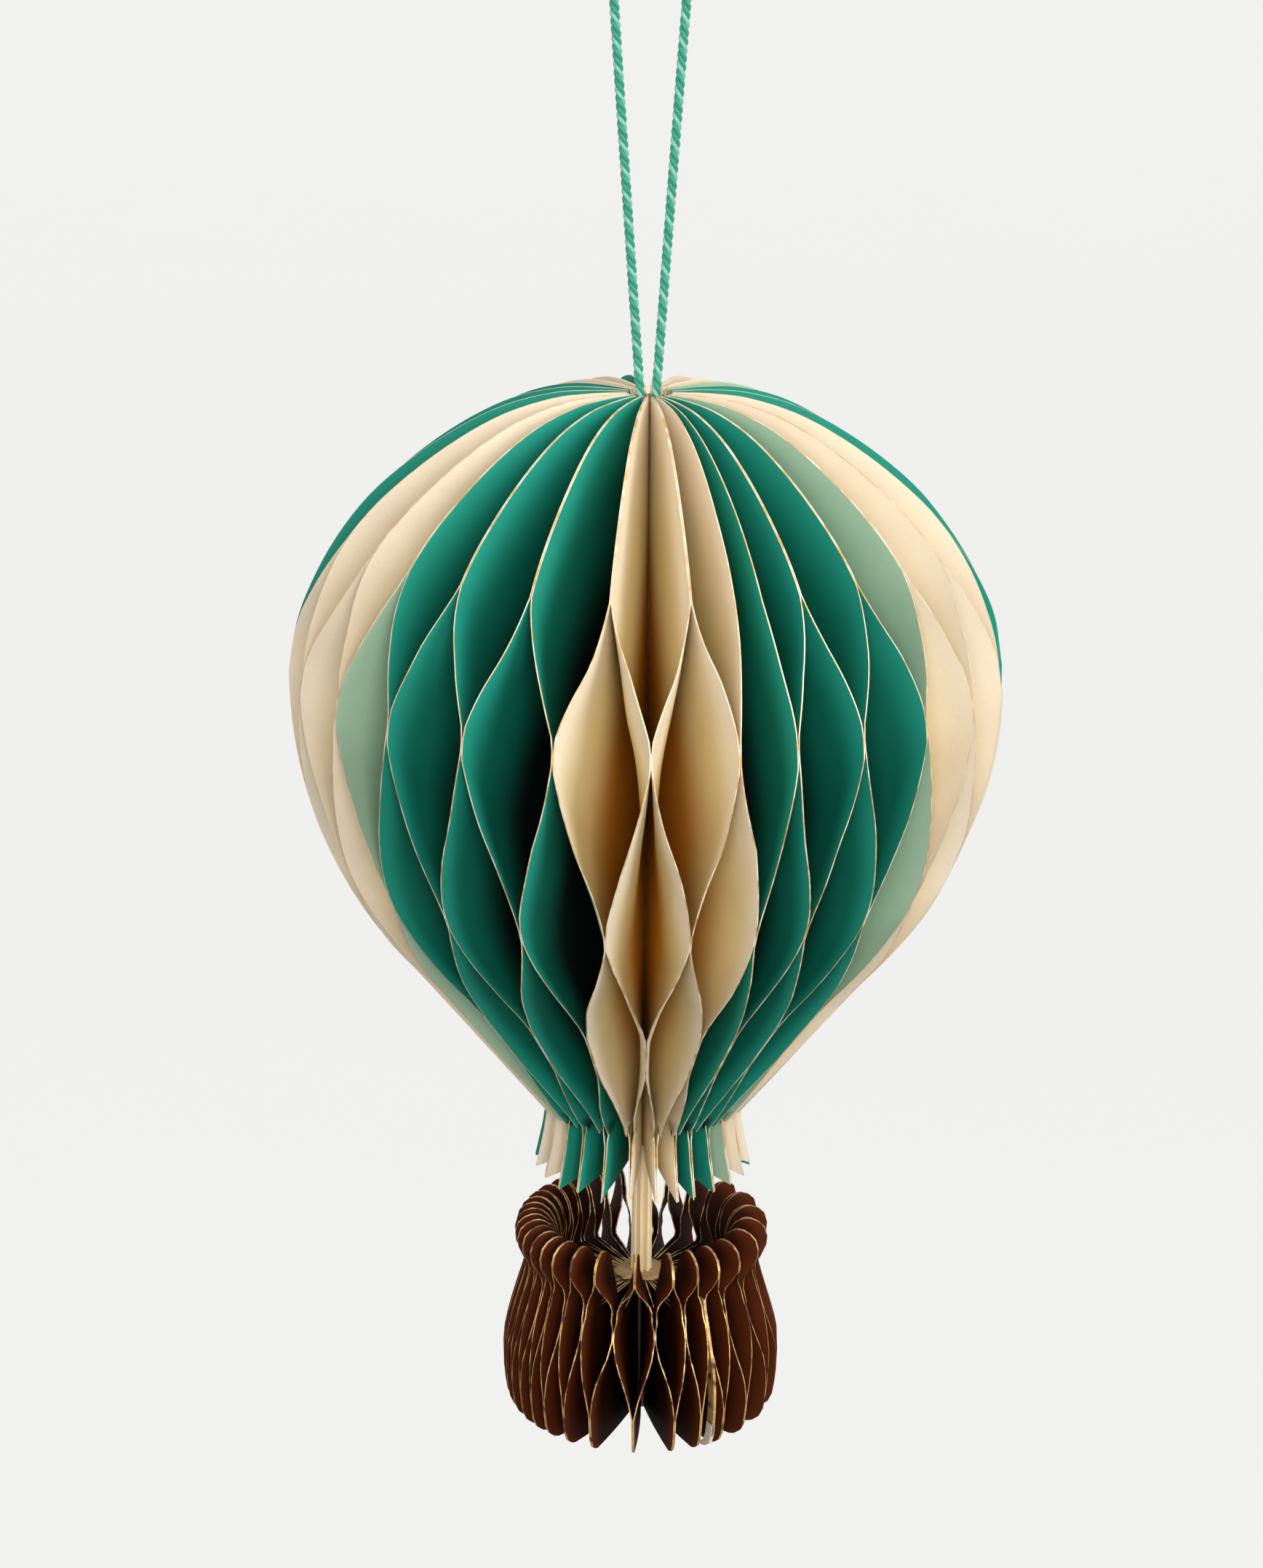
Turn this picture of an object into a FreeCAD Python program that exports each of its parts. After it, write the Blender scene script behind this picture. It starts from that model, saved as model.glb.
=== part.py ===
# Hanging paper ornament: a balloon of card leaves fanned round an axis, over a small basket.
# Neighbouring leaves are glued in rows, alternately to the left and to the right, so that
# their edges open into a honeycomb. The frame is millimetres, +Z up, with the origin at the
# hanging point, on the underside of the cord at the top of its loop. Azimuths are degrees,
# 0 at the front (-Y), growing towards +X.
import os
import FreeCAD, Part
from math import asin, atan2, cos, exp, pi, radians, sin, sqrt, tan

# Card and glue
card = 0.18
glue_film = 0.02
spine_radius = 2.65

# Envelope: a flat dome, a rounder belly, a straight taper, then a short skirt
envelope_radius = 50.0
dome_height = 39.3
belly_depth = 56.0
taper_end_radius = 15.0
taper_end_drop = 64.9
skirt_top_radius = 14.1
skirt_hem_radius = 15.7
skirt_height = 9.8
hem_rise = 3.2
hem_tip = 0.2
barb_step = 0.1
crown_lip = 0.5
envelope_leaves = 50
leaves_per_colour = 5

# Glue rows of the envelope, measured up from its widest circle
row_a = 22.2
row_b = 2.3
row_c = -24.7
row_d = -45.3
row_half_width = 2.0

# Basket: a round lobe at the rim, a flat-floored well inside, a bulging side, a rounded foot
basket_gap = 8.2
basket_spine_radius = 3.3
lobe_centre_radius = 15.6
lobe_radius = 3.0
lobe_height = 3.3
lobe_tip = 0.5
notch_radius = 17.2
notch_drop = 6.9
basket_radius = 20.4
basket_widest_drop = 21.6
basket_foot_radius = 17.2
basket_foot_round = 1.8
basket_height = 30.4
side_fullness = 1.5
foot_fullness = 5.0
well_radius = 12.4
well_corner_radius = 13.0
well_depth = 9.8
floor_step = 0.1
basket_leaves = 60
leaves_per_basket_node = 12

# Glue rows of the basket, measured down from the top of its rim
basket_mid_row = 11.9
basket_low_row = 24.6

# Where each ring of leaves closes on itself, how tightly the leaves crowd there, and how much
# further apart than on average they stand on the slack side of the ring
envelope_seam_azimuth = 18.8
envelope_seam_crowding = 0.39
basket_seam_azimuth = 34.5
basket_seam_crowding = 0.69
seam_spread = 1.6
basket_slack = 0.41
basket_slack_azimuth = 72.0

# Neck between envelope and basket
neck_width = 3.0
neck_strip = 0.45
neck_strips = 4

# Hanging cord
cord_diameter = 1.3
cord_clearance = 0.06
loop_height = 60.6
strand_spacing = 2.0
loop_radius = 5.0
loop_corner_count = 4
crown_dip = 0.8

# Heights that follow from the sizes above
crown_z = -loop_height
widest_z = crown_z - dome_height
taper_end_z = widest_z - taper_end_drop
hem_z = taper_end_z - skirt_height
hem_inner_z = hem_z + hem_rise
rim_z = hem_z - basket_gap
well_floor_z = rim_z - well_depth
foot_z = rim_z - basket_height
spine_top_z = crown_z - crown_dip


def ring_azimuths(count, seam_azimuth, crowding, slack=0.0, slack_azimuth=0.0):
    """Azimuth of each leaf. The ring closes between the last leaf and the first one."""
    shares = []
    for k in range(count):
        steps = min(k + 1, count - 1 - k)
        from_slack = radians(seam_azimuth + 360.0 * (k + 0.5) / count - slack_azimuth)
        shares.append(1.0 + slack * cos(from_slack) - crowding * exp(-((steps / seam_spread) ** 2)))
    step = 360.0 / sum(shares)
    azimuths = [seam_azimuth + 0.5 * step * shares[-1]]
    for share in shares[:-1]:
        azimuths.append(azimuths[-1] + step * share)
    return azimuths


def rule_point(azimuth, radius, sideways, z):
    """Point at a radius along an azimuth, moved sideways in the direction of growing azimuth."""
    a = radians(azimuth)
    return FreeCAD.Vector(radius * sin(a) + sideways * cos(a),
                          -radius * cos(a) + sideways * sin(a), z)


def leaf_solid(azimuths, k, stations):
    """One card leaf from level lines (z, inner radius, outer radius, wave).
    Wave 1 glues odd leaves to the next one, wave -1 to the one before, and 0 stands free."""
    count = len(azimuths)
    here = azimuths[k]
    to_next = (azimuths[(k + 1) % count] - here) % 360.0
    to_last = (here - azimuths[k - 1]) % 360.0
    rings = []
    for z, inner, outer, wave in stations:
        lean = wave if k % 2 else -wave
        azimuth = here + 0.5 * lean * (to_next if lean > 0 else to_last)
        middle = -0.5 * lean * (card + glue_film)
        low = middle - 0.5 * card
        high = middle + 0.5 * card
        rings.append([rule_point(azimuth, inner, low, z), rule_point(azimuth, outer, low, z),
                      rule_point(azimuth, outer, high, z), rule_point(azimuth, inner, high, z)])
    faces = [flat_face(rings[0][::-1]), flat_face(rings[-1])]
    for lower, upper in zip(rings, rings[1:]):
        faces += band(lower, upper)
    shell = Part.Shell(faces)
    shell.sewShape()
    return Part.Solid(shell)


def band(lower, upper):
    """Sides between two level lines. Both broad sides fold along one diagonal, so the card stays even."""
    faces = []
    for i in range(4):
        j = (i + 1) % 4
        if i < 2:
            faces.append(flat_face([lower[i], lower[j], upper[j]]))
            faces.append(flat_face([lower[i], upper[j], upper[i]]))
        else:
            faces.append(flat_face([lower[i], lower[j], upper[i]]))
            faces.append(flat_face([lower[j], upper[j], upper[i]]))
    return faces


def flat_face(points):
    return Part.Face(Part.makePolygon(points + [points[0]]))


def envelope_outline(z):
    """Outer radius of an envelope leaf at a height, down to the end of its taper."""
    up = z - widest_z
    if up >= 0:
        return envelope_radius * sqrt(max(0.0, 1.0 - (up / dome_height) ** 2))
    tangent = taper_tangent()
    if -up <= tangent:
        return envelope_radius * sqrt(1.0 - (up / belly_depth) ** 2)
    top = envelope_radius * sqrt(1.0 - (tangent / belly_depth) ** 2)
    share = (-up - tangent) / (taper_end_drop - tangent)
    return top + share * (taper_end_radius - top)


def taper_tangent():
    """Drop below the widest circle at which the belly runs straight into the taper."""
    low, high = 0.0, taper_end_drop
    for _ in range(40):
        drop = 0.5 * (low + high)
        u = min(drop / belly_depth, 0.999)
        radius = envelope_radius * sqrt(1.0 - u * u)
        belly_slope = envelope_radius * u / (belly_depth * sqrt(1.0 - u * u))
        taper_slope = (radius - taper_end_radius) / (taper_end_drop - drop)
        if belly_slope < taper_slope:
            low = drop
        else:
            high = drop
    return low


def between(low_row, high_row, share):
    """Height part of the way from the top of one glue row to the foot of the next."""
    start = low_row + row_half_width
    return start + share * (high_row - row_half_width - start)


def skirt_edge(z):
    """Outer radius of the skirt, which flares towards its hem."""
    share = (taper_end_z - z) / skirt_height
    return skirt_top_radius + share * (skirt_hem_radius - skirt_top_radius)


def envelope_stations():
    """Level lines of an envelope leaf, from the hem up to the crown."""
    skirt = [(hem_z, skirt_hem_radius - hem_tip, skirt_hem_radius, 0.0),
             (hem_inner_z, spine_radius, skirt_edge(hem_inner_z), 0.0),
             (taper_end_z - barb_step, spine_radius, skirt_top_radius, 0.0)]
    levels = [(-taper_end_drop, 0.0),
              (row_d - row_half_width, -1.0), (row_d + row_half_width, -1.0),
              (between(row_d, row_c, 0.5), 0.0),
              (row_c - row_half_width, 1.0), (row_c + row_half_width, 1.0),
              (between(row_c, row_b, 0.5), 0.0),
              (row_b - row_half_width, -1.0), (row_b + row_half_width, -1.0),
              (between(row_b, row_a, 0.5), 0.0),
              (row_a - row_half_width, 1.0), (row_a + row_half_width, 1.0),
              (between(row_a, dome_height, 0.5), 0.4), (between(row_a, dome_height, 0.87), 0.0)]
    body = [(widest_z + up, spine_radius, envelope_outline(widest_z + up), wave) for up, wave in levels]
    crown = (crown_z, spine_radius, spine_radius + crown_lip, 0.0)
    return skirt + body + [crown]


def basket_side(drop):
    """Outer radius of a basket leaf under its notch, at a depth below the top of the rim."""
    if drop < basket_widest_drop:
        share = (basket_widest_drop - drop) / (basket_widest_drop - notch_drop)
        return basket_radius - (basket_radius - notch_radius) * share ** side_fullness
    share = (drop - basket_widest_drop) / (basket_height - basket_widest_drop)
    return basket_radius - (basket_radius - basket_foot_radius) * share ** foot_fullness


def lobe_half_width(share):
    """Half the width of the round rim lobe at a share of its height above its widest line."""
    return max(lobe_tip, lobe_radius * sqrt(max(0.0, 1.0 - share * share)))


def basket_stations():
    """Level lines of a basket leaf, from the foot up to the top of the rim lobe."""
    side = [(basket_height, 1.0), (basket_height - basket_foot_round, 1.0), (basket_low_row, 1.0),
            (basket_mid_row, -1.0), (well_depth, -0.8)]
    stations = [(rim_z - drop, basket_spine_radius, basket_side(drop), wave) for drop, wave in side]
    stations.append((well_floor_z + floor_step, well_corner_radius, basket_side(well_depth), -0.8))
    stations.append((rim_z - notch_drop, well_radius, notch_radius, 0.4))
    for share in (0.0, 0.7, 1.0):
        half = lobe_half_width(share)
        stations.append((rim_z - lobe_height * (1.0 - share), lobe_centre_radius - half,
                         lobe_centre_radius + half, 1.0))
    return stations


def core(leaf_radius, low_z, high_z):
    """Round stack of the leaves' inner edges, glued into one, just inside the radius they start at."""
    return Part.makeCylinder(leaf_radius - glue_film, high_z - low_z, FreeCAD.Vector(0, 0, low_z))


def neck():
    """Flat strips that cross on the axis and run from the envelope down to the basket."""
    length = hem_inner_z - well_floor_z
    strips = []
    for i in range(neck_strips):
        strip = Part.makeBox(neck_width, neck_strip, length,
                             FreeCAD.Vector(-0.5 * neck_width, -0.5 * neck_strip, well_floor_z))
        strip.rotate(FreeCAD.Vector(0, 0, 0), FreeCAD.Vector(0, 0, 1), i * 180.0 / neck_strips)
        strips.append(strip)
    return strips[0].multiFuse(strips[1:]).removeSplitter()


def cord_route():
    """Points of the cord: up one strand, round the loop and down the other strand."""
    loop_centre_z = 0.5 * cord_diameter - loop_radius
    start_z = spine_top_z + cord_clearance
    reach = loop_centre_z - start_z
    half = 0.5 * strand_spacing
    lean = asin(loop_radius / sqrt(half * half + reach * reach)) - atan2(half, reach)
    turn = (pi + 2 * lean) / loop_corner_count
    corner_radius = loop_radius / cos(0.5 * turn)
    points = [FreeCAD.Vector(-half, 0, start_z)]
    for i in range(loop_corner_count):
        a = pi + lean - (i + 0.5) * turn
        points.append(FreeCAD.Vector(corner_radius * cos(a), 0, loop_centre_z + corner_radius * sin(a)))
    points.append(FreeCAD.Vector(half, 0, start_z))
    return points


def cord_tube(points, diameter):
    """Tube along straight runs joined by tangent arcs, as large as their runs allow."""
    edges = []
    start = points[0]
    for last, corner, following in zip(points, points[1:], points[2:]):
        arriving = corner - last
        leaving = following - corner
        half_turn = 0.5 * arriving.getAngle(leaving)
        cut = 0.45 * min(arriving.Length, leaving.Length)
        radius = cut / tan(half_turn)
        print("cord arc radius", round(radius, 2))
        arriving.normalize()
        leaving.normalize()
        arc_start = corner - arriving * cut
        arc_end = corner + leaving * cut
        inward = leaving - arriving
        inward.normalize()
        arc_middle = corner + inward * (radius / cos(half_turn) - radius)
        edges.append(Part.LineSegment(start, arc_start).toShape())
        edges.append(Part.Arc(arc_start, arc_middle, arc_end).toShape())
        start = arc_end
    edges.append(Part.LineSegment(start, points[-1]).toShape())
    path = Part.Wire(edges)
    ring = Part.Wire(Part.makeCircle(0.5 * diameter, points[0], points[1] - points[0]))
    tube = path.makePipeShell([ring], True, True)
    print("cord length", round(path.Length, 2), "volume share",
          round(tube.Volume / (pi * 0.25 * diameter ** 2 * path.Length), 5))
    return tube


def save(name, shape):
    shape.exportStep("parts/" + name + ".step")


def build():
    os.makedirs("parts", exist_ok=True)
    azimuths = ring_azimuths(envelope_leaves, envelope_seam_azimuth, envelope_seam_crowding)
    stations = envelope_stations()
    for k in range(envelope_leaves):
        colour = "cream" if (k // leaves_per_colour) % 2 else "green"
        save("leaf_%02d_%s" % (k + 1, colour), leaf_solid(azimuths, k, stations))
    save("envelope_core", core(spine_radius, hem_inner_z, spine_top_z))
    save("neck_strips", neck())

    azimuths = ring_azimuths(basket_leaves, basket_seam_azimuth, basket_seam_crowding,
                             basket_slack, basket_slack_azimuth)
    stations = basket_stations()
    for first in range(0, basket_leaves, leaves_per_basket_node):
        leaves = [leaf_solid(azimuths, k, stations)
                  for k in range(first, min(first + leaves_per_basket_node, basket_leaves))]
        save("basket_leaves_%d" % (first // leaves_per_basket_node + 1), Part.makeCompound(leaves))
    save("basket_core", core(basket_spine_radius, foot_z, well_floor_z))
    save("hanging_cord", cord_tube(cord_route(), cord_diameter))


build()
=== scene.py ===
from math import cos, exp, pi, radians, sin, sqrt
import bmesh
import bpy
from mathutils import Matrix, Vector, noise


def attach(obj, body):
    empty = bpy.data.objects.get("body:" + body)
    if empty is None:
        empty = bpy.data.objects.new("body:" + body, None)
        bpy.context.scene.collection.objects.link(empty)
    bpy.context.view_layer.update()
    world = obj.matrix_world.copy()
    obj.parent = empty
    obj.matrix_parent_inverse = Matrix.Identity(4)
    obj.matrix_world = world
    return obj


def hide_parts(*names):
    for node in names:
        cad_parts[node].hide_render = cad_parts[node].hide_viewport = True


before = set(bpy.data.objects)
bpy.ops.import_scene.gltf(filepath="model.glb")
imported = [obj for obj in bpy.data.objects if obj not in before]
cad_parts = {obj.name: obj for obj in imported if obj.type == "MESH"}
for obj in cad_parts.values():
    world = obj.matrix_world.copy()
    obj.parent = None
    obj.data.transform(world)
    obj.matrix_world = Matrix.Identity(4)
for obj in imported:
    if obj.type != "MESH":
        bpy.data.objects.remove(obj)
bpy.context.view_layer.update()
scene = bpy.context.scene
scene.view_settings.view_transform = "Standard"

MM = 0.001

# Sizes of the object, in millimetres, as in the part's source
CARD = 0.18
GLUE_FILM = 0.02
ENVELOPE_LEAVES = 50
LEAVES_PER_COLOUR = 5
ENVELOPE_RADIUS = 50.0
BELLY_DEPTH = 56.0
TAPER_START_DROP = 40.6
TAPER_END_DROP = 64.9
TAPER_END_RADIUS = 15.0
SPINE_RADIUS = 2.65
CROWN_Z = -60.6
SPINE_TOP_Z = -61.4
WIDEST_Z = -99.9
TAPER_END_Z = -164.8
HEM_INNER_Z = -171.4
HEM_Z = -174.6
BASKET_LEAVES = 60
LEAVES_PER_BASKET_NODE = 12
BASKET_SPINE_RADIUS = 3.3
RIM_Z = -182.8
WELL_FLOOR_Z = -192.6
FOOT_Z = -213.2

# Camera of the photograph, in millimetres and degrees
CAMERA_DISTANCE = 540.0
CAMERA_RISE = 16.164
CAMERA_ROLL = 0.479
CAMERA_LENS = 88.67
CAMERA_TURNS_ABOUT_Z = -96.9
CAMERA_AIM = (-2.03, 0.0, -117.1)


def link_object(name, data):
    """A new object with the given data, in the scene."""
    item = bpy.data.objects.new(name, data)
    scene.collection.objects.link(item)
    return item


def photo_camera():
    """The photograph's own angle, a little above the ornament, turned by half a degree."""
    data = bpy.data.cameras.new("photo_camera")
    data.sensor_width = 36.0
    data.lens = CAMERA_LENS
    data.clip_start = 0.01
    data.clip_end = 20.0
    camera = link_object("photo_camera", data)
    rise = radians(CAMERA_RISE)
    away = -CAMERA_DISTANCE * cos(rise)
    up = CAMERA_TURNS_ABOUT_Z + CAMERA_DISTANCE * sin(rise)
    stand = Vector((0.0, away, up)) * MM
    aim = Vector(CAMERA_AIM) * MM
    level = (aim - stand).to_track_quat("-Z", "Y").to_matrix().to_4x4()
    roll = Matrix.Rotation(radians(CAMERA_ROLL), 4, "Z")
    camera.matrix_world = Matrix.Translation(stand) @ level @ roll
    scene.camera = camera


photo_camera()


# Shared shader groups
def new_group(name, inputs, outputs):
    """An empty shader group: its tree, its input node and its output node."""
    group = bpy.data.node_groups.new(name, "ShaderNodeTree")
    for label, kind, value in inputs:
        socket = group.interface.new_socket(label, in_out="INPUT", socket_type=kind)
        if value is not None:
            socket.default_value = value
    for label, kind in outputs:
        group.interface.new_socket(label, in_out="OUTPUT", socket_type=kind)
    return group, group.nodes.new("NodeGroupInput"), group.nodes.new("NodeGroupOutput")


def add_node(tree, kind, inputs=None, **settings):
    """A node with its settings by attribute and its inputs by name, as sockets to link or values."""
    node = tree.nodes.new(kind)
    for key, value in settings.items():
        setattr(node, key, value)
    for key, value in (inputs or {}).items():
        if isinstance(value, bpy.types.NodeSocket):
            tree.links.new(value, node.inputs[key])
        else:
            node.inputs[key].default_value = value
    return node


def mix_colours(tree, share, first, second):
    """First colour where the share is 0, second where it is 1."""
    mix = add_node(tree, "ShaderNodeMix", {0: share, 6: first, 7: second}, data_type="RGBA")
    return mix.outputs[2]


def paper_fibre_group():
    """Fibres and faint mottling of pressed card, as a colour and a height."""
    group, given, result = new_group(
        "paper_fibre",
        [("Colour", "NodeSocketColor", (0.8, 0.8, 0.8, 1.0)), ("Vector", "NodeSocketVector", None),
         ("Mottle", "NodeSocketFloat", 0.12), ("Fibre size", "NodeSocketFloat", 1.0)],
        [("Colour", "NodeSocketColor"), ("Height", "NodeSocketFloat")])
    scaled = add_node(group, "ShaderNodeVectorMath",
                      {0: given.outputs["Vector"], "Scale": given.outputs["Fibre size"]},
                      operation="SCALE")
    fibre = add_node(group, "ShaderNodeTexNoise", {"Vector": scaled.outputs[0], "Scale": 2600.0,
                                                   "Detail": 3.0, "Distortion": 1.5})
    cloud = add_node(group, "ShaderNodeTexNoise", {"Vector": given.outputs["Vector"],
                                                   "Scale": 140.0, "Detail": 4.0})
    blend = add_node(group, "ShaderNodeMath", {0: fibre.outputs["Fac"], 1: cloud.outputs["Fac"]},
                     operation="ADD")
    centred = add_node(group, "ShaderNodeMath", {0: blend.outputs[0], 1: 1.0}, operation="SUBTRACT")
    swing = add_node(group, "ShaderNodeMath", {0: centred.outputs[0], 1: given.outputs["Mottle"]},
                     operation="MULTIPLY")
    level = add_node(group, "ShaderNodeMath", {0: swing.outputs[0], 1: 1.0}, operation="ADD")
    tinted = add_node(group, "ShaderNodeVectorMath",
                      {0: given.outputs["Colour"], "Scale": level.outputs[0]}, operation="SCALE")
    group.links.new(tinted.outputs[0], result.inputs["Colour"])
    group.links.new(fibre.outputs["Fac"], result.inputs["Height"])
    return group


def painted_depth_shade_group():
    """Painted shade of a leaf from its edge inwards: darker towards the spine, deep in the cells. The
    depth is the leaf's own map, in centimetres.
    """
    group, given, result = new_group(
        "painted_depth_shade",
        [("Edge colour", "NodeSocketColor", (1.0, 1.0, 1.0, 1.0)),
         ("Middle colour", "NodeSocketColor", None), ("Deep shade colour", "NodeSocketColor", None),
         ("Depth", "NodeSocketFloat", 0.0), ("Middle at", "NodeSocketFloat", 0.5),
         ("Deep at", "NodeSocketFloat", 1.6)],
        [("Colour", "NodeSocketColor")])
    depth = given.outputs["Depth"]
    middle_at = given.outputs["Middle at"]
    first = add_node(group, "ShaderNodeMapRange",
                     {"Value": depth, "From Min": 0.0, "From Max": middle_at},
                     interpolation_type="SMOOTHSTEP")
    second = add_node(group, "ShaderNodeMapRange",
                      {"Value": depth, "From Min": middle_at, "From Max": given.outputs["Deep at"]},
                      interpolation_type="SMOOTHSTEP")
    outer = mix_colours(group, first.outputs[0], given.outputs["Edge colour"],
                        given.outputs["Middle colour"])
    inner = mix_colours(group, second.outputs[0], outer, given.outputs["Deep shade colour"])
    group.links.new(inner, result.inputs["Colour"])
    return group


PAPER_FIBRE = paper_fibre_group()
PAINTED_DEPTH_SHADE = painted_depth_shade_group()


# Materials
def shade(hex_colour):
    """Linear colour of a six-digit sRGB code."""
    channels = []
    for at in (0, 2, 4):
        c = int(hex_colour[at:at + 2], 16) / 255.0
        channels.append(c / 12.92 if c <= 0.04045 else ((c + 0.055) / 1.055) ** 2.4)
    return (channels[0], channels[1], channels[2], 1.0)


def new_material(name, roughness):
    """A material with its tree and its shader."""
    material = bpy.data.materials.new(name)
    material.use_nodes = True
    tree = material.node_tree
    shader = tree.nodes["Principled BSDF"]
    shader.inputs["Roughness"].default_value = roughness
    return material, tree, shader


def add_relief(tree, shader, height, strength, distance=0.0001):
    """Bump of the given height on the shader."""
    relief = add_node(tree, "ShaderNodeBump",
                      {"Strength": strength, "Distance": distance, "Height": height})
    tree.links.new(relief.outputs[0], shader.inputs["Normal"])


def add_fibre(tree, shader, colour, mottle):
    """The shader's colour, with the fibres of card in it. Returns the fibres' height."""
    place = add_node(tree, "ShaderNodeTexCoord")
    fibre = add_node(tree, "ShaderNodeGroup",
                     {"Colour": colour, "Vector": place.outputs["Object"], "Mottle": mottle},
                     node_tree=PAPER_FIBRE)
    tree.links.new(fibre.outputs["Colour"], shader.inputs["Base Color"])
    return fibre.outputs["Height"]


def card_material(name, edge, middle, deep_shade, middle_at, deep_at, roughness=0.6, gloss=0.25):
    """Coloured card with painted shade: its colour darkens from the outer edge of the leaf towards its
    glued spine, deep in the cells.
    """
    material, tree, shader = new_material(name, roughness)
    own_map = add_node(tree, "ShaderNodeUVMap", uv_map="leaf")
    depth = add_node(tree, "ShaderNodeSeparateXYZ", {0: own_map.outputs[0]})
    tint = add_node(tree, "ShaderNodeGroup",
                    {"Edge colour": shade(edge), "Middle colour": shade(middle),
                     "Deep shade colour": shade(deep_shade), "Depth": depth.outputs["X"],
                     "Middle at": middle_at, "Deep at": deep_at}, node_tree=PAINTED_DEPTH_SHADE)
    height = add_fibre(tree, shader, tint.outputs["Colour"], 0.14)
    add_relief(tree, shader, height, 0.06)
    shader.inputs["Specular IOR Level"].default_value = gloss
    return material


def gilt_material(name, colour, worn, metal, roughness, glitter=0.0):
    """Cut edge brushed with gold: bright where the gilding took, paler where the card shows."""
    material, tree, shader = new_material(name, roughness)
    place = add_node(tree, "ShaderNodeTexCoord")
    patches = add_node(tree, "ShaderNodeTexNoise", {"Vector": place.outputs["Object"],
                                                    "Scale": 420.0, "Detail": 5.0})
    mask = add_node(tree, "ShaderNodeMapRange", {"Value": patches.outputs["Fac"],
                                                 "From Min": 0.4, "From Max": 0.62})
    mixed = mix_colours(tree, mask.outputs[0], shade(worn), shade(colour))
    height = add_fibre(tree, shader, mixed, 0.35)
    metallic = add_node(tree, "ShaderNodeMath", {0: mask.outputs[0], 1: metal},
                        operation="MULTIPLY")
    tree.links.new(metallic.outputs[0], shader.inputs["Metallic"])
    add_relief(tree, shader, height, 0.15 + glitter, 0.0002)
    return material


def cord_material(name, colour, dark):
    """Twisted yarn, with its threads drawn aslant on the strand's own map."""
    material, tree, shader = new_material(name, 0.65)
    own_map = add_node(tree, "ShaderNodeUVMap", uv_map="yarn")
    threads = add_node(tree, "ShaderNodeTexWave", {"Vector": own_map.outputs[0], "Scale": 1.0,
                                                   "Distortion": 0.6, "Detail": 2.0},
                       bands_direction="DIAGONAL")
    mixed = mix_colours(tree, threads.outputs["Fac"], shade(dark), shade(colour))
    tree.links.new(mixed, shader.inputs["Base Color"])
    add_relief(tree, shader, threads.outputs["Fac"], 0.4)
    shader.inputs["Sheen Weight"].default_value = 0.3
    return material


def stacked_card_material(name, light, dark):
    """Stacked card without a leaf map, for nodes kept from the frame."""
    material, tree, shader = new_material(name, 0.6)
    place = add_node(tree, "ShaderNodeTexCoord")
    stripes = add_node(tree, "ShaderNodeTexWave", {"Vector": place.outputs["Object"],
                                                   "Scale": 500.0, "Distortion": 1.2,
                                                   "Detail": 2.0}, bands_direction="X")
    mixed = mix_colours(tree, stripes.outputs["Fac"], shade(dark), shade(light))
    height = add_fibre(tree, shader, mixed, 0.12)
    add_relief(tree, shader, height, 0.2)
    return material


def pale_material(name, colour, glow_strength):
    """Pale floor that also glows a little, for the camera only."""
    material, tree, shader = new_material(name, 0.9)
    place = add_node(tree, "ShaderNodeTexCoord")
    cloud = add_node(tree, "ShaderNodeTexNoise", {"Vector": place.outputs["Object"], "Scale": 3.0})
    tone = add_node(tree, "ShaderNodeMapRange", {"Value": cloud.outputs["Fac"], "To Min": 0.96,
                                                 "To Max": 1.0})
    tinted = add_node(tree, "ShaderNodeVectorMath", {0: colour, "Scale": tone.outputs[0]},
                      operation="SCALE")
    tree.links.new(tinted.outputs[0], shader.inputs["Base Color"])
    rays = add_node(tree, "ShaderNodeLightPath")
    shader.inputs["Emission Color"].default_value = (1.0, 1.0, 0.99, 1.0)
    glow = add_node(tree, "ShaderNodeMath",
                    {0: rays.outputs["Is Camera Ray"], 1: glow_strength}, operation="MULTIPLY")
    tree.links.new(glow.outputs[0], shader.inputs["Emission Strength"])
    return material


# Each card runs from its edge colour to its middle and deep colours towards the spine: painted shade of
# the deep cells, and in the golden deep cream, painted warm bounce light
GREEN = card_material("green_card", "239a84", "0a6e5a", "011611", 0.5, 1.5)
CREAM = card_material("cream_card", "f4e5cb", "f3e1ae", "e9b038", 1.0, 2.8)
SAGE = card_material("sage_card", "b2d0b0", "9cbe98", "5a6a44", 0.9, 2.6)
BROWN = card_material("brown_card", "582610", "2f1206", "0a0301", 0.4, 1.1, roughness=0.5, gloss=0.08)
COLLAR = card_material("collar_card", "a98a60", "a98a60", "7a5a38", 0.3, 1.1)
GILT = gilt_material("gilt_edge", "dcae6c", "f0dfc2", 0.45, 0.36)
GLITTER = gilt_material("glitter_edge", "ffd488", "5e3214", 0.6, 0.35, glitter=0.3)


# Rings of leaves
def ring_azimuths(count, seam_azimuth, crowding, spread, slack=0.0, slack_azimuth=0.0):
    """Azimuth of each leaf. The ring closes between the last leaf and the first one."""
    shares = []
    for k in range(count):
        steps = min(k + 1, count - 1 - k)
        from_slack = radians(seam_azimuth + 360.0 * (k + 0.5) / count - slack_azimuth)
        shares.append(1.0 + slack * cos(from_slack) - crowding * exp(-((steps / spread) ** 2)))
    step = 360.0 / sum(shares)
    azimuths = [seam_azimuth + 0.5 * step * shares[-1]]
    for share in shares[:-1]:
        azimuths.append(azimuths[-1] + step * share)
    return azimuths


SEAM_SPREAD = 1.6
ENVELOPE_AZIMUTHS = ring_azimuths(ENVELOPE_LEAVES, 18.8, 0.39, SEAM_SPREAD)
BASKET_AZIMUTHS = ring_azimuths(BASKET_LEAVES, 34.5, 0.69, SEAM_SPREAD, 0.41, 72.0)

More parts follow.
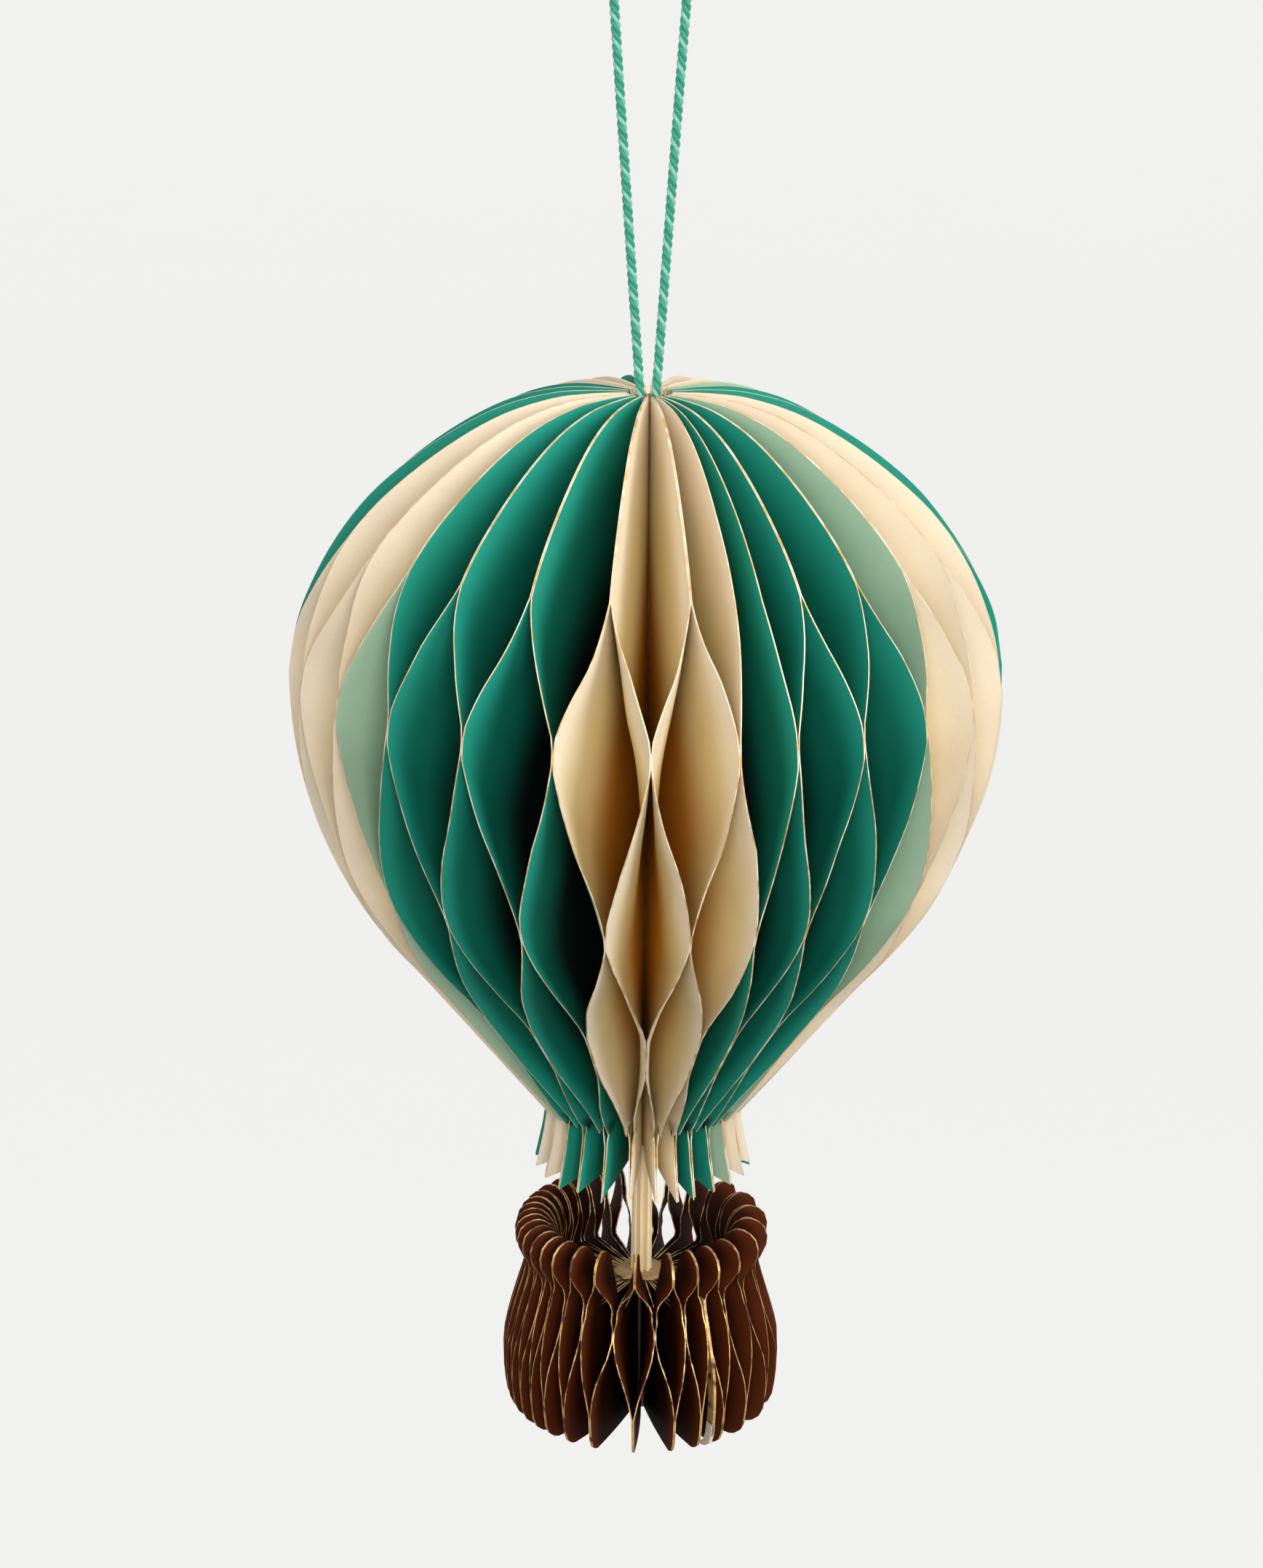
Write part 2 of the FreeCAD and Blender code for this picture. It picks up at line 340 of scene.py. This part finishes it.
# Front leaves that stand a little beside the even ring, in degrees
ENVELOPE_SHIFTS = {1: -1.0, 2: -1.6, 3: -2.6, 4: -3.2, 5: -4.0, 6: -4.6, 7: -4.8, 8: -4.2, 9: -3.4,
                   10: -2.5, 11: -1.7, 12: -1.0, 13: -0.5, 36: 1.5, 37: 2.5, 38: 2.5, 39: 1.5,
                   40: 0.8, 49: 0.4}
BASKET_SHIFTS = {46: -2.0, 47: -2.8, 48: -3.0, 49: -3.4, 50: -3.6, 51: -3.8, 52: -3.0, 53: 0.5,
                 54: 2.8, 55: 5.2, 56: 4.4, 57: 2.8, 58: 1.0, 59: 1.5, 0: 3.5, 1: 4.0, 2: 4.5,
                 3: 4.0, 4: 3.0, 5: 2.0, 6: 1.0}
for azimuths, shifts in ((ENVELOPE_AZIMUTHS, ENVELOPE_SHIFTS), (BASKET_AZIMUTHS, BASKET_SHIFTS)):
    for k, shift in shifts.items():
        azimuths[k] += shift

# Glue rows: height, and the lean of an odd leaf there, 1 towards the next leaf, -1 towards the last
ENVELOPE_ROWS = [(HEM_Z, 1.0), (TAPER_END_Z - 2.5, 0.9), (TAPER_END_Z, 0.4), (WIDEST_Z - 50.0, -1.0),
                 (WIDEST_Z - 45.3, -1.0), (WIDEST_Z - 24.7, 1.0), (WIDEST_Z + 2.3, -1.0),
                 (WIDEST_Z + 22.2, 1.0), (CROWN_Z, 1.0)]
BASKET_ROWS = [(FOOT_Z, 1.0), (RIM_Z - 24.6, 1.0), (RIM_Z - 11.9, -1.0), (RIM_Z - 9.0, -0.8),
               (RIM_Z - 3.3, 1.0), (RIM_Z, 1.0)]
ENVELOPE_ROW_HALF_WIDTH = 1.6
BASKET_ROW_HALF_WIDTH = 1.0
# Leaves beside the ring's seam, which the top row of glue leaves open, with their lean there
OPEN_LEANS = {ENVELOPE_LEAVES - 1: -0.3, 0: 0.1}

# How a leaf strays from its plan: worn hem, in millimetres, and flutter, as a share of the gap
HEM_WEAR = 0.9
FLUTTER = 0.15
# Power by which a leaf's wave fades from its edge to the spine, and the one that bends its levels
# down towards the spine
WAVE_FALL = 1.2
LEVEL_BEND = 3.0
MAP_SCALE = 0.1


def wave_at(rows, z, half_width):
    """Lean of an odd leaf at a height, eased between the rows of glue."""
    if z <= rows[0][0]:
        return rows[0][1]
    for (low_z, low), (high_z, high) in zip(rows, rows[1:]):
        if z <= high_z:
            run = max(high_z - low_z - 2.0 * half_width, 0.1)
            share = min(max((z - low_z - half_width) / run, 0.0), 1.0)
            ease = 0.5 - 0.5 * cos(pi * share)
            return low + (high - low) * (0.3 * ease + 0.7 * share)
    return rows[-1][1]


def smooth_path(points, steps):
    """Points along a soft curve through the given ones, the same number between each pair."""
    line = []
    for i in range(len(points) - 1):
        a = Vector(points[max(i - 1, 0)])
        b = Vector(points[i])
        c = Vector(points[i + 1])
        d = Vector(points[min(i + 2, len(points) - 1)])
        for s in range(steps):
            t = s / steps
            line.append(0.5 * ((2 * b) + (c - a) * t + (2 * a - 5 * b + 4 * c - d) * t * t
                               + (3 * b - a - 3 * c + d) * t * t * t))
    line.append(Vector(points[-1]))
    return line


# Outer edge of the skirt: inner height over the hem's inner end, radius, height over the hem
SKIRT = [(0.0, 15.7, 0.0), (1.6, 15.15, 2.6), (3.4, 14.6, 5.2), (5.2, 14.2, 8.0)]
# Outer edge of the dome: radius, height over the widest circle before it is set to the crown
DOME = [(50.0, -3.0), (48.9, 3.3), (46.9, 8.6), (43.6, 14.6), (38.9, 20.7), (33.0, 26.0), (26.4, 30.6),
        (20.0, 33.9), (13.4, 35.8), (8.0, 36.3), (3.2, 36.3)]
DOME_HEIGHT = 36.3
DOME_STEPS = 4
BELLY_STEPS = 30
BARB_RISE = 1.4
# Lower part of a basket leaf: drop from the rim, outer radius
BASKET_SIDE = [(30.4, 17.3), (30.1, 18.2), (29.3, 19.2), (28.0, 19.8), (26.1, 20.1), (24.0, 20.3),
               (21.1, 20.35), (19.0, 20.2), (17.0, 19.8), (15.0, 19.3), (12.5, 18.6), (11.0, 18.15),
               (9.9, 17.8)]
# Round lobe of a basket leaf: inner radius and drop, outer radius and drop
BASKET_LOBE = [(13.0, 9.75, 17.6, 9.2), (13.25, 9.0, 17.35, 8.3), (12.9, 7.8, 17.2, 7.4),
               (12.5, 6.2, 17.25, 6.6), (12.35, 5.0, 17.9, 5.4), (12.6, 3.5, 18.5, 4.0),
               (13.0, 2.1, 18.6, 2.7), (13.7, 1.0, 18.2, 1.3), (14.6, 0.3, 17.3, 0.45),
               (15.3, 0.02, 16.2, 0.02)]


def belly_radius(up):
    """Radius of the envelope under its widest circle: an ellipse, then a straight taper."""
    if -up <= TAPER_START_DROP:
        return ENVELOPE_RADIUS * sqrt(1.0 - (up / BELLY_DEPTH) ** 2)
    top = ENVELOPE_RADIUS * sqrt(1.0 - (TAPER_START_DROP / BELLY_DEPTH) ** 2)
    return top + (-up - TAPER_START_DROP) / (TAPER_END_DROP - TAPER_START_DROP) * (TAPER_END_RADIUS - top)


def envelope_lines():
    """Lines of an envelope leaf from hem to crown: inner radius and z, outer radius and z."""
    lines = [(SPINE_RADIUS, HEM_INNER_Z + inner_up, radius, HEM_Z + up) for inner_up, radius, up in SKIRT]
    lines.append((SPINE_RADIUS, TAPER_END_Z + 0.7, 14.0, TAPER_END_Z + 1.0))
    outline = []
    for step in range(BELLY_STEPS + 1):
        up = -TAPER_END_DROP + TAPER_END_DROP * step / BELLY_STEPS
        outline.append((belly_radius(up), WIDEST_Z + up))
    for radius, up in smooth_path(DOME, DOME_STEPS)[1:]:
        outline.append((radius, CROWN_Z - DOME_HEIGHT + up))
    for i, (radius, z) in enumerate(outline):
        rise = i / (len(outline) - 1)
        inner_z = TAPER_END_Z + BARB_RISE + (SPINE_TOP_Z - TAPER_END_Z - BARB_RISE) * rise
        lines.append((SPINE_RADIUS, inner_z, radius, z))
    return lines


def basket_lines():
    """Lines of a basket leaf from foot to rim: inner radius and z, outer radius and z."""
    lines = [(BASKET_SPINE_RADIUS, RIM_Z - drop, radius, RIM_Z - drop) for drop, radius in BASKET_SIDE]
    for inner, inner_drop, outer, outer_drop in BASKET_LOBE:
        lines.append((inner, RIM_Z - inner_drop, outer, RIM_Z - outer_drop))
    return lines


def card_sheet(columns, levels):
    """A flat card with two sides. x is the share from spine to edge, y the level, z the side."""
    sheet = bmesh.new()
    bmesh.ops.create_grid(sheet, x_segments=columns, y_segments=levels, size=0.5)
    back = bmesh.ops.extrude_face_region(sheet, geom=sheet.faces[:], use_keep_orig=True)
    risen = [item for item in back["geom"] if isinstance(item, bmesh.types.BMVert)]
    bmesh.ops.translate(sheet, vec=(0.0, 0.0, 1.0), verts=risen)
    bmesh.ops.recalc_face_normals(sheet, faces=sheet.faces[:])
    return sheet


def paint_sides(sheet, low_side, high_side, edge):
    """Material numbers for the two broad sides and the cut edges of a flat card."""
    for face in sheet.faces:
        face.smooth = abs(face.normal.z) >= 0.5
        if not face.smooth:
            face.material_index = edge
        elif face.calc_center_median().z < 0.5:
            face.material_index = low_side
        else:
            face.material_index = high_side
    for border in sheet.edges:
        border.smooth = border.link_faces[0].smooth == border.link_faces[1].smooth


def shape_leaf(sheet, lines, azimuths, k, rows, half_width, seed, fall, thickness,
               level_bend=1.0, flutter=FLUTTER):
    """Bends a flat card to its outline, turns it to its azimuth and leans it to its neighbours."""
    here = azimuths[k]
    to_next = (azimuths[(k + 1) % len(azimuths)] - here) % 360.0
    to_last = (here - azimuths[k - 1]) % 360.0
    own_map = sheet.loops.layers.uv.new("leaf")
    places = {}
    for vert in sheet.verts:
        share = vert.co.x + 0.5
        level = (vert.co.y + 0.5) * (len(lines) - 1)
        side = vert.co.z
        inner, inner_z, outer, outer_z = lines[min(int(level + 0.5), len(lines) - 1)]
        radius = inner + (outer - inner) * share
        bend = level_bend if outer_z > TAPER_END_Z - 1.5 else 1.0
        z = inner_z + (outer_z - inner_z) * share ** bend
        if RIM_Z < outer_z < TAPER_END_Z - 0.5:
            z += HEM_WEAR * noise.noise(Vector((seed * 3.7, 0.5, 0.5))) * share
        wave = wave_at(rows, outer_z, half_width)
        lean = wave if k % 2 else -wave
        gap = to_next if lean > 0 else to_last
        reach = (radius / outer) ** fall
        stray = noise.noise(Vector((seed * 7.13, z * 0.09, radius * 0.05)))
        shake = stray * flutter * (1.0 - abs(wave)) * share
        angle = radians(here + 0.5 * lean * reach * gap + shake * gap)
        middle = -0.5 * lean * reach * (thickness + GLUE_FILM)
        sideways = middle + (side - 0.5) * thickness
        places[vert] = (outer - radius, z)
        vert.co = Vector((radius * sin(angle) + sideways * cos(angle),
                          -radius * cos(angle) + sideways * sin(angle), z)) * MM
    for face in sheet.faces:
        for loop in face.loops:
            depth, z = places[loop.vert]
            loop[own_map].uv = (depth * MAP_SCALE, z * MAP_SCALE)
    bmesh.ops.reverse_faces(sheet, faces=sheet.faces[:])


def place_mesh(sheet, name, materials):
    """The finished mesh as an object that rides on the body."""
    mesh = bpy.data.meshes.new(name)
    sheet.normal_update()
    sheet.to_mesh(mesh)
    sheet.free()
    piece = link_object(name, mesh)
    for material in materials:
        mesh.materials.append(material)
    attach(piece, "root")
    return piece


def envelope_leaves():
    """Leaves in groups of one colour. The outer sides of each cream group are sage."""
    lines = envelope_lines()
    for k in range(ENVELOPE_LEAVES):
        cream = (k // LEAVES_PER_COLOUR) % 2
        place_in_group = k % LEAVES_PER_COLOUR
        colour = "cream" if cream else "green"
        node = "leaf_%02d_%s" % (k + 1, colour)
        rows = ENVELOPE_ROWS
        if k in OPEN_LEANS:
            rows = rows[:-2] + [(z, OPEN_LEANS[k]) for z, lean in rows[-2:]]
        sheet = card_sheet(10, len(lines) - 1)
        paint_sides(sheet, 0, 1, 2)
        shape_leaf(sheet, lines, ENVELOPE_AZIMUTHS, k, rows, ENVELOPE_ROW_HALF_WIDTH, k + 1,
                   WAVE_FALL, CARD, level_bend=LEVEL_BEND)
        low_side = CREAM if cream else GREEN
        high_side = low_side
        if cream and place_in_group == 0:
            low_side = SAGE
        if cream and place_in_group == LEAVES_PER_COLOUR - 1:
            high_side = SAGE
        leaf = place_mesh(sheet, "waved_" + node, [low_side, high_side, GILT])
        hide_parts(node)


def basket_leaves():
    """Twelve leaves to a piece, as in the frame's nodes."""
    lines = basket_lines()
    for first in range(0, BASKET_LEAVES, LEAVES_PER_BASKET_NODE):
        ring = bmesh.new()
        ring.loops.layers.uv.new("leaf")
        number = first // LEAVES_PER_BASKET_NODE + 1
        for k in range(first, first + LEAVES_PER_BASKET_NODE):
            sheet = card_sheet(5, len(lines) - 1)
            paint_sides(sheet, 0, 0, 1)
            shape_leaf(sheet, lines, BASKET_AZIMUTHS, k, BASKET_ROWS, BASKET_ROW_HALF_WIDTH,
                       100 + k, 1.0, CARD)
            leaf = bpy.data.meshes.new("one_leaf")
            sheet.to_mesh(leaf)
            sheet.free()
            ring.from_mesh(leaf)
            bpy.data.meshes.remove(leaf)
        piece = place_mesh(ring, "basket_fan_%d" % number, [BROWN, GLITTER])
        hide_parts("basket_leaves_%d" % number)


def basket_seam():
    """The closing strip of the basket's ring: gold on its edge, with its cream end at the foot."""
    strip_width = 1.4
    strip_stands_out = 0.15
    lines = []
    for inner, inner_z, outer, z in basket_lines():
        if z < RIM_Z - 7.0:
            lines.append((outer - strip_width, z, outer + strip_stands_out, z))
    before = BASKET_AZIMUTHS[58]
    after = BASKET_AZIMUTHS[59]
    azimuths = [before, 0.4 * before + 0.6 * after, after]
    no_wave = [(FOOT_Z, 0.0), (RIM_Z, 0.0)]
    for name, low, high, thickness, material, slot in (
            ("basket_seam_gilding", 3, len(lines), 0.42, GLITTER, "brown_card"),
            ("basket_seam_end", 0, 5, 0.5, CREAM, "cream_card")):
        strip = card_sheet(2, high - low - 1)
        shape_leaf(strip, lines[low:high], azimuths, 1, no_wave, 0.1, 9, 1.0, thickness, flutter=0.0)
        piece = place_mesh(strip, name, [material])


def foot_collar():
    """Torn ring of cream card that holds the neck to the floor of the basket's well."""
    thickness = 0.3
    torn_by = 0.22
    collar = bmesh.new()
    bmesh.ops.create_cone(collar, cap_ends=True, segments=28, radius1=3.9 * MM, radius2=3.3 * MM,
                          depth=thickness * MM)
    own_map = collar.loops.layers.uv.new("leaf")
    for vert in collar.verts:
        tear = 1.0 + torn_by * noise.noise(vert.co * 900.0)
        height = vert.co.z + (WELL_FLOOR_Z + thickness) * MM
        vert.co = Vector((vert.co.x * tear, vert.co.y * tear, height))
    for face in collar.faces:
        for loop in face.loops:
            loop[own_map].uv = (0.0, loop.vert.co.z * MAP_SCALE / MM)
    piece = place_mesh(collar, "neck_foot_collar", [COLLAR])


# Cord: three strands twisted round the route that the part's source gives, in millimetres
CORD_ROUTE = [(-1.25, -61.34), (-5.05, -10.51), (-5.5, -2.532), (-2.35, 0.651), (2.0, 0.651),
              (4.85, -2.532), (4.15, -10.51), (0.85, -61.34)]
PATH_STEP = 0.25
LAY_LENGTH = 3.4
STRANDS = 3
PALE_STRAND = 2
STRAND_OFFSET = 0.33
STRAND_RADIUS = 0.36
STRAND_SIDES = 7
THREADS_ALONG = 0.9
THREADS_ROUND = 1.4


def read_line(curve):
    """Points of a curve's own line, in order."""
    depsgraph = bpy.context.evaluated_depsgraph_get()
    line = bpy.data.meshes.new_from_object(curve.evaluated_get(depsgraph))
    points = [vert.co.copy() for vert in line.vertices]
    bpy.data.meshes.remove(line)
    return points


def even_points(points, step):
    """The same line with points a fixed distance apart."""
    spaced = [points[0]]
    left = step
    for a, b in zip(points, points[1:]):
        run = (b - a).length
        along = left
        while along <= run and run > 0:
            spaced.append(a.lerp(b, along / run))
            along += step
        left = along - run
    spaced.append(points[-1])
    return spaced


def cord_path():
    """The cord's middle line: a curve through the route's points, read at even steps."""
    data = bpy.data.curves.new("cord_route", "CURVE")
    data.dimensions = "3D"
    data.resolution_u = 24
    spline = data.splines.new("NURBS")
    spline.points.add(len(CORD_ROUTE) - 1)
    for point, (x, z) in zip(spline.points, CORD_ROUTE):
        point.co = (x * MM, 0.0, z * MM, 1.0)
    spline.order_u = 3
    spline.use_endpoint_u = True
    route = link_object("cord_route", data)
    bpy.context.view_layer.update()
    path = even_points(read_line(route), PATH_STEP * MM)
    bpy.data.objects.remove(route)
    return path


def twist_strand(cord, yarn, path, strand):
    """One strand's tube, wound round the path, with its threads' map."""
    across = Vector((0.0, 1.0, 0.0))
    rings = []
    for i, point in enumerate(path):
        ahead = path[min(i + 1, len(path) - 1)] - path[max(i - 1, 0)]
        ahead.normalize()
        side = ahead.cross(across).normalized()
        turn = 2.0 * pi * (i * PATH_STEP / LAY_LENGTH + strand / STRANDS)
        centre = point + (side * cos(turn) + across * sin(turn)) * STRAND_OFFSET * MM
        ring = []
        for corner in range(STRAND_SIDES):
            a = 2.0 * pi * corner / STRAND_SIDES
            out = side * cos(a) + across * sin(a)
            ring.append(cord.verts.new(centre + out * STRAND_RADIUS * MM))
        rings.append(ring)
    for i, (ring, ahead) in enumerate(zip(rings, rings[1:])):
        for corner in range(STRAND_SIDES):
            beside = (corner + 1) % STRAND_SIDES
            face = cord.faces.new((ring[corner], ahead[corner], ahead[beside], ring[beside]))
            face.smooth = True
            face.material_index = 1 if strand == PALE_STRAND else 0
            for loop in face.loops:
                along = i if loop.vert in (ring[corner], ring[beside]) else i + 1
                loop[yarn].uv = (along * THREADS_ALONG, corner * THREADS_ROUND)
    cord.faces.new(rings[0])
    cord.faces.new(rings[-1][::-1])


def hanging_cord():
    """The doubled cord, from the crown up round its loop and back."""
    path = cord_path()
    cord = bmesh.new()
    yarn = cord.loops.layers.uv.new("yarn")
    for strand in range(STRANDS):
        twist_strand(cord, yarn, path, strand)
    bmesh.ops.recalc_face_normals(cord, faces=cord.faces[:])
    teal = cord_material("teal_yarn", "39b795", "0f7f66")
    pale = cord_material("pale_yarn", "9fdac8", "4fb49a")
    piece = place_mesh(cord, "teal_cord", [teal, pale])
    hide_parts("hanging_cord")


hanging_cord()
envelope_leaves()
basket_leaves()
basket_seam()
foot_collar()

# Nodes kept from the frame, with the light and the dark tone of their stacked card
for node, material, light, dark in (("envelope_core", "spine_stack", "c89a50", "5a300a"),
                                    ("neck_strips", "neck_card", "f0dfbf", "e2c894"),
                                    ("basket_core", "basket_stack", "6a3f24", "2e1608")):
    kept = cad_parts[node].data.materials
    kept.clear()
    kept.append(stacked_card_material(material, light, dark))


# Room: a pale floor well under the ornament, soft lamps, and a white background for the camera
FLOOR_RADIUS = 14.0
FLOOR_Z = -1.2
LAMP_AIM = (0.0, 0.0, -0.12)
# Name, place, width and height in metres, power in watts
LAMPS = [("right_window", (0.62, -0.42, 0.22), 0.5, 0.6, 4.7),
         ("left_window", (-0.62, -0.42, 0.18), 0.5, 0.6, 1.5),
         ("front_fill", (0.06, -0.9, 0.12), 0.45, 0.6, 4.6),
         ("top", (0.0, 0.1, 0.7), 0.7, 0.7, 2.2)]
ROOM_LIGHT = 0.3
ROOM_SEEN = 0.88


def floor():
    """A wide round floor."""
    disc = bmesh.new()
    bmesh.ops.create_circle(disc, cap_ends=True, segments=96, radius=FLOOR_RADIUS)
    bmesh.ops.translate(disc, vec=(0.0, 0.0, FLOOR_Z), verts=disc.verts[:])
    mesh = bpy.data.meshes.new("pale_floor")
    disc.to_mesh(mesh)
    disc.free()
    mesh.materials.append(pale_material("pale_floor", (0.46, 0.46, 0.455), 0.7))
    piece = link_object("pale_floor", mesh)


def soft_lamp(name, place, width, height, power):
    """A rectangular lamp that faces the ornament."""
    data = bpy.data.lights.new(name, "AREA")
    data.shape = "RECTANGLE"
    data.size = width
    data.size_y = height
    data.energy = power
    lamp = link_object(name, data)
    lamp.location = place
    lamp.rotation_euler = (Vector(LAMP_AIM) - Vector(place)).to_track_quat("-Z", "Y").to_euler()


def background():
    """Even light from all round, brighter where the camera or a reflection sees it."""
    world = bpy.data.worlds.new("room")
    scene.world = world
    world.use_nodes = True
    tree = world.node_tree
    back = tree.nodes["Background"]
    rays = add_node(tree, "ShaderNodeLightPath")
    seen = add_node(tree, "ShaderNodeMath", {0: rays.outputs["Is Camera Ray"],
                                             1: rays.outputs["Is Glossy Ray"]}, operation="MAXIMUM")
    strength = add_node(tree, "ShaderNodeMapRange", {"Value": seen.outputs[0], "To Min": ROOM_LIGHT,
                                                     "To Max": ROOM_SEEN})
    back.inputs["Color"].default_value = (1.0, 0.99, 0.97, 1.0)
    tree.links.new(strength.outputs[0], back.inputs["Strength"])


floor()
for lamp in LAMPS:
    soft_lamp(*lamp)
background()
